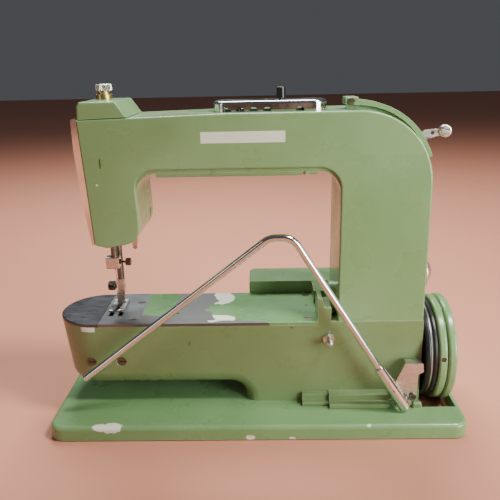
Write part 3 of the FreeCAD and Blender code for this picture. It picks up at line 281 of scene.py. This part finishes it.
# Dark nicks on the free arm: mask and colour.
ARM_MARKS = [(slender((-60.1, -42.5, 73.5), 1.5, (2.4, 1, 0.7)), (0.035, 0.045, 0.02)),
             (slender((31.4, -42.5, 88), 1.0, (0.6, 1, 1)), (0.05, 0.06, 0.03))]
COVER_MARKS = [(plaque, PRIMER),
               (slender((-125, -41.6, 235.3), 4.6, (6, 1, 1)), (0.03, 0.045, 0.02)),
               (slender((-129.2, -41.6, 217.9), 0.7, (1, 1, 1)), (0.75, 0.75, 0.65))]


def arm_primer(m):
    """The pale undercoat showing below the slide plate's edge."""
    shape = m.block((-158.5, -44, 85.6), (-144, -41, 92), 0.5)
    return m.maths("MULTIPLY", shape, m.ramp(m.noise(180, 4, 0.7), 0.3, 0.36))


def worn_area(m, grow):
    """Where the bed has lost its paint: a patch behind the needle plate and a strip along the front."""
    ragged = m.maths("MULTIPLY", m.maths("SUBTRACT", m.noise(34, 5, 0.62, twist=0.6), 0.5), 0.040)
    x = m.maths("ADD", m.axis("X"), ragged)
    y = m.maths("ADD", m.axis("Y"), m.maths("MULTIPLY", ragged, 0.6))

    def span(value, low, high):
        rise = m.ramp(value, (low - grow) * MM, (low - grow + 0.6) * MM)
        return m.maths("MULTIPLY", rise, m.ramp(value, (high + grow) * MM, (high + grow + 0.6) * MM, 1, 0))

    patch = m.maths("MULTIPLY", span(x, -79, -40), span(y, -60, 60))
    strip = m.maths("MULTIPLY", span(x, -120, -40), span(y, -60, -24))
    rim = m.maths("MULTIPLY", span(x, -120, 12), span(y, -60, -39.4))
    return m.either(patch, strip, rim)


def bed_wear(m):
    """Bare metal of the worn bed."""
    return worn_area(m, 0)


def bed_primer(m):
    """The pale undercoat left as blobs at the right edge of the bare metal."""
    rear = m.ball((-36, 17, 93), 13, 0.30, 90, (0.9, 0.8, 1))
    front = m.ball((-35, -33, 93), 13, 0.32, 90, (0.8, 1.7, 1))
    return m.either(rear, front)


def chrome_line(m):
    """The thin plated ring between the two black rings of the handwheel's tyre."""
    return m.within("X", 154.5, 155.7, 0.15)


MATERIALS = {
    "casting": enamel("casting_enamel"),
    # The free arm and lower casting get the casting green darkened: partly painted shade of the lower body,
    # partly dirtier paint.
    "arm": enamel("free_arm_enamel_shaded", tone=(0.138, 0.200, 0.078), pale=(0.166, 0.236, 0.100),
                  primer=arm_primer, marks=ARM_MARKS),
    "front": enamel("front_cover_enamel", marks=COVER_MARKS),
    "base": enamel("base_enamel", tone=(0.150, 0.275, 0.110), pale=(0.185, 0.325, 0.138), chips=BASE_CHIPS),
    "bed": enamel("bed_enamel", tone=(0.120, 0.240, 0.090), pale=(0.158, 0.300, 0.122), worn=bed_wear,
                  primer=bed_primer),
    "plate": metal("ground_plate", (0.20, 0.198, 0.21), (0.11, 0.108, 0.108),
                   (0.30, 0.44), (1, 12, 1), 0.5, 90),
    "slide": metal("slide_steel", (0.125, 0.120, 0.135), (0.070, 0.067, 0.072),
                   (0.26, 0.40), (1, 12, 1), 0.5, 90),
    "chrome": metal("chrome_plate", (0.80, 0.79, 0.77), (0.45, 0.41, 0.36),
                    (0.08, 0.18), (1, 1, 1), 0.25, 40, 0.008),
    "nickel": metal("nickel_plate", (0.68, 0.66, 0.62), (0.36, 0.31, 0.25),
                    (0.22, 0.36), (1, 1, 9), 0.35, 90),
    "steel": metal("ground_steel", (0.44, 0.43, 0.42), (0.18, 0.16, 0.14),
                   (0.24, 0.4), (9, 1, 1), 0.3, 90),
    "dark": metal("oiled_steel", (0.20, 0.165, 0.135), (0.07, 0.05, 0.035),
                  (0.28, 0.45), (1, 1, 8), 0.5, 90),
    "screw": metal("blackened_screw", (0.15, 0.13, 0.10), (0.035, 0.025, 0.02),
                   (0.3, 0.5), (1, 1, 1), 0.6, 200),
    "brass": metal("worn_brass", (0.62, 0.47, 0.20), (0.25, 0.17, 0.07),
                   (0.25, 0.42), (1, 1, 1), 0.45, 140),
    "rubber": soft_black("black_rubber", (0.016, 0.016, 0.016), (0.06, 0.058, 0.052),
                         (0.5, 0.72), 0.05, 500),
    "tyre": soft_black("tyre_rubber", (0.012, 0.012, 0.012), (0.045, 0.043, 0.040),
                       (0.28, 0.45), 0.03, 500, chrome_line),
    "plastic": soft_black("black_plastic", (0.010, 0.010, 0.011), (0.04, 0.04, 0.038),
                          (0.18, 0.3), 0.01, 300),
    "motor": soft_black("motor_enamel", (0.02, 0.02, 0.02), (0.07, 0.065, 0.055),
                        (0.3, 0.45), 0.02, 200),
}

FINISH = {
    "base": ["base_plate"],
    "arm": ["lower_casting", "front_ledge"],
    "casting": ["upper_casting", "rear_cover", "underarm_covers", "head_hood", "stitch_quadrant",
                "motor_cover", "handwheel_rim"],
    "front": ["front_cover"],
    "bed": ["bed_cover"],
    "plate": ["needle_plate"],
    "slide": ["slide_plate"],
    "chrome": ["face_plate", "tension_cover", "lever_socket", "knee_rod", "needle", "take_up_lever"],
    "nickel": ["table_stud", "face_screw", "pressure_screw", "stitch_lever", "winder_wheel",
               "knee_bracket", "needle_clamp", "presser_foot", "lifter_lever", "bobbin", "lower_pulley",
               "upper_pulley"],
    "steel": ["tension_discs", "bobbin_case", "presser_spring", "lower_shaft", "upper_shaft",
              "rotary_hook", "motor_rotor"],
    "dark": ["needle_bar", "presser_bar", "hook_drive_gear", "needle_crank", "connecting_rod",
             "feed_bar", "feed_dog"],
    "screw": ["base_screws", "cover_screws", "handwheel_screw", "clamp_screw", "foot_screw"],
    "brass": ["lower_bushes", "upper_bushes", "pressure_nuts"],
    "rubber": ["rubber_feet", "drive_belt"],
    "tyre": ["handwheel_tyre"],
    "plastic": ["tension_knob", "power_inlet"],
    "motor": ["motor_body"],
}
for finish, names in FINISH.items():
    for name in names:
        NODES[name].data.materials.clear()
        NODES[name].data.materials.append(MATERIALS[finish])


# ---------------------------------------------------------------- knurled screws

AXES = {"X": (Vector((0, 1, 0)), Vector((0, 0, 1)), Vector((1, 0, 0))),
        "Z": (Vector((1, 0, 0)), Vector((0, 1, 0)), Vector((0, 0, 1)))}


def knurled(node, body, finish, axis, centre, profile, ribs, depth):
    """A turned screw with a knurled grip that stands for a plain CAD one.

    The profile is a list of (place along the axis, radius, knurl) in millimetres, knurl being 0 or 1.
    """
    across, up, along = AXES[axis]
    middle = Vector(centre)
    around = ribs * 4
    mesh = bmesh.new()
    rings = []
    for place, radius, knurl in profile:
        ring = []
        for i in range(around):
            turn = 2 * math.pi * i / around
            cut = depth * knurl * (0.5 - 0.5 * math.cos(ribs * turn))
            out = radius - cut
            ring.append(mesh.verts.new((middle + along * place + across * (out * math.cos(turn))
                                        + up * (out * math.sin(turn))) * MM))
        rings.append(ring)
    for low, high in zip(rings, rings[1:]):
        for i in range(around):
            j = (i + 1) % around
            mesh.faces.new((low[i], low[j], high[j], high[i]))
    mesh.faces.new(list(reversed(rings[0])))
    mesh.faces.new(rings[-1])
    bmesh.ops.recalc_face_normals(mesh, faces=mesh.faces)
    data = bpy.data.meshes.new(node + "_knurled")
    mesh.to_mesh(data)
    mesh.free()
    piece = bpy.data.objects.new(node + "_knurled", data)
    bpy.context.scene.collection.objects.link(piece)
    data.materials.append(MATERIALS[finish])
    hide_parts(node)
    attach(piece, body)


def grip(start, end, radius, rows=7):
    """The knurled length of a profile, with plain chamfers at both ends."""
    step = (end - start) / (rows + 1)
    face = [(start, radius - 0.5, 0), (start + step * 0.4, radius - 0.1, 0)]
    face += [(start + step * (i + 0.6), radius, 1 if i % 2 else 0.75) for i in range(rows)]
    return face + [(end - step * 0.3, radius - 0.1, 0), (end, radius - 0.6, 0)]


knurled("pressure_screw", "pressure_screw", "nickel", "Z", (-128, 4.5, 0),
        [(266.4, 2.9, 0), (291.3, 2.9, 0)] + grip(291.4, 296.8, 7.0), 30, 0.75)
knurled("face_screw", "machine_frame", "nickel", "X", (0, -18.5, 204),
        [(-139, 1.6, 0), (-144.3, 1.6, 0)] + grip(-144.4, -148.2, 6.8), 28, 0.8)
knurled("foot_screw", "presser", "screw", "X", (0, 4.5, 112),
        [(-126.1, 1.4, 0), (-131.4, 1.4, 0), (-131.5, 2.5, 0), (-133.9, 2.5, 0)] + grip(-134, -140.4, 4.5),
        20, 0.5)
knurled("clamp_screw", "needle_bar", "screw", "X", (0, -6.5, 139.5),
        [(-128.3, 1.0, 0), (-124.8, 1.0, 0), (-124.7, 2.5, 0), (-123.5, 2.5, 0), (-123.4, 1.0, 0),
         (-119.5, 1.0, 0)] + grip(-119.4, -114.8, 3.5), 18, 0.45)


# ---------------------------------------------------------------- stage, camera and light

def studio_material(name, tone, rough):
    m = Material(name)
    m.set("Base Color", m.mix(m.ramp(m.noise(3, 3), 0.3, 0.7), tone, [c * 0.97 for c in tone]))
    m.set("Roughness", rough)
    return m.material


def make_stage():
    reach = 6.0
    mesh = bpy.data.meshes.new("studio_floor")
    mesh.from_pydata([(-reach, -reach, 0), (reach, -reach, 0), (reach, reach, 0), (-reach, reach, 0)], [],
                     [(0, 1, 2, 3)])
    floor = bpy.data.objects.new("studio_floor", mesh)
    floor.data.materials.append(studio_material("warm_floor", (0.60, 0.235, 0.150), 0.75))
    bpy.context.scene.collection.objects.link(floor)


CAMERA_SPOT = Vector((5.95, -512.13, 309.23)) * MM
CAMERA_TURN = (-17.58, -1.22, -1.19)
SENSOR_WIDTH = 36
FOCAL_LENGTH = 41.83632


def make_camera():
    """The viewpoint: above and in front of the middle, looking down; pitch, yaw and roll are in degrees."""
    pitch, yaw, roll = (math.radians(a) for a in CAMERA_TURN)
    forward = Vector((math.sin(yaw) * math.cos(pitch), math.cos(yaw) * math.cos(pitch), math.sin(pitch)))
    right = forward.cross(Vector((0, 0, 1))).normalized()
    up = right.cross(forward)
    side = right * math.cos(roll) + up * math.sin(roll)
    top = up * math.cos(roll) - right * math.sin(roll)
    camera = bpy.data.objects.new("camera", bpy.data.cameras.new("camera"))
    camera.data.sensor_width = SENSOR_WIDTH
    camera.data.lens = FOCAL_LENGTH
    camera.data.clip_start = 0.01
    turn = Matrix((side, top, -forward)).transposed().to_4x4()
    camera.matrix_world = Matrix.Translation(CAMERA_SPOT) @ turn
    bpy.context.scene.collection.objects.link(camera)
    bpy.context.scene.camera = camera


# name, place, aim, width and height in metres, power in watts, colour, spread in degrees
LIGHTS = [
    ("key", (0.70, -0.27, 1.34), (0.0, 0, 0.12), (0.25, 0.25), 24, (1.0, 0.985, 0.955), 180),
    ("front", (0.66, -0.46, 0.34), (0.18, 0, 0.20), (0.45, 0.55), 1.75, (0.88, 1.0, 0.92), 54),
    ("back", (-0.10, 0.80, 1.30), (0, 0.02, 0.15), (0.8, 0.6), 31, (0.93, 1.0, 0.96), 180),
    ("strip", (-0.90, -0.63, 0.53), (-0.07, -0.06, 0.11), (0.22, 0.7), 1.0, (1.0, 0.99, 0.97), 180),
    ("bounce", (-0.25, -0.85, 0.03), (-0.06, 0, 0.10), (0.9, 0.3), 0.7, (1.0, 0.42, 0.24), 180),
]
WORLD_TONE = (0.80, 0.84, 0.92, 1)
WORLD_STRENGTH = 0.09


def area_light(name, spot, aim, size, power, tone, spread):
    data = bpy.data.lights.new(name, "AREA")
    data.shape = "RECTANGLE"
    data.size, data.size_y = size
    data.energy = power
    data.color = tone
    data.spread = math.radians(spread)
    light = bpy.data.objects.new(name, data)
    light.location = spot
    light.rotation_euler = (Vector(aim) - Vector(spot)).to_track_quat("-Z", "Y").to_euler()
    bpy.context.scene.collection.objects.link(light)


def make_lights():
    for values in LIGHTS:
        area_light(*values)
    world = bpy.data.worlds.new("studio")
    world.use_nodes = True
    background = world.node_tree.nodes["Background"]
    background.inputs["Color"].default_value = WORLD_TONE
    background.inputs["Strength"].default_value = WORLD_STRENGTH
    bpy.context.scene.world = world


make_stage()
make_camera()
make_lights()
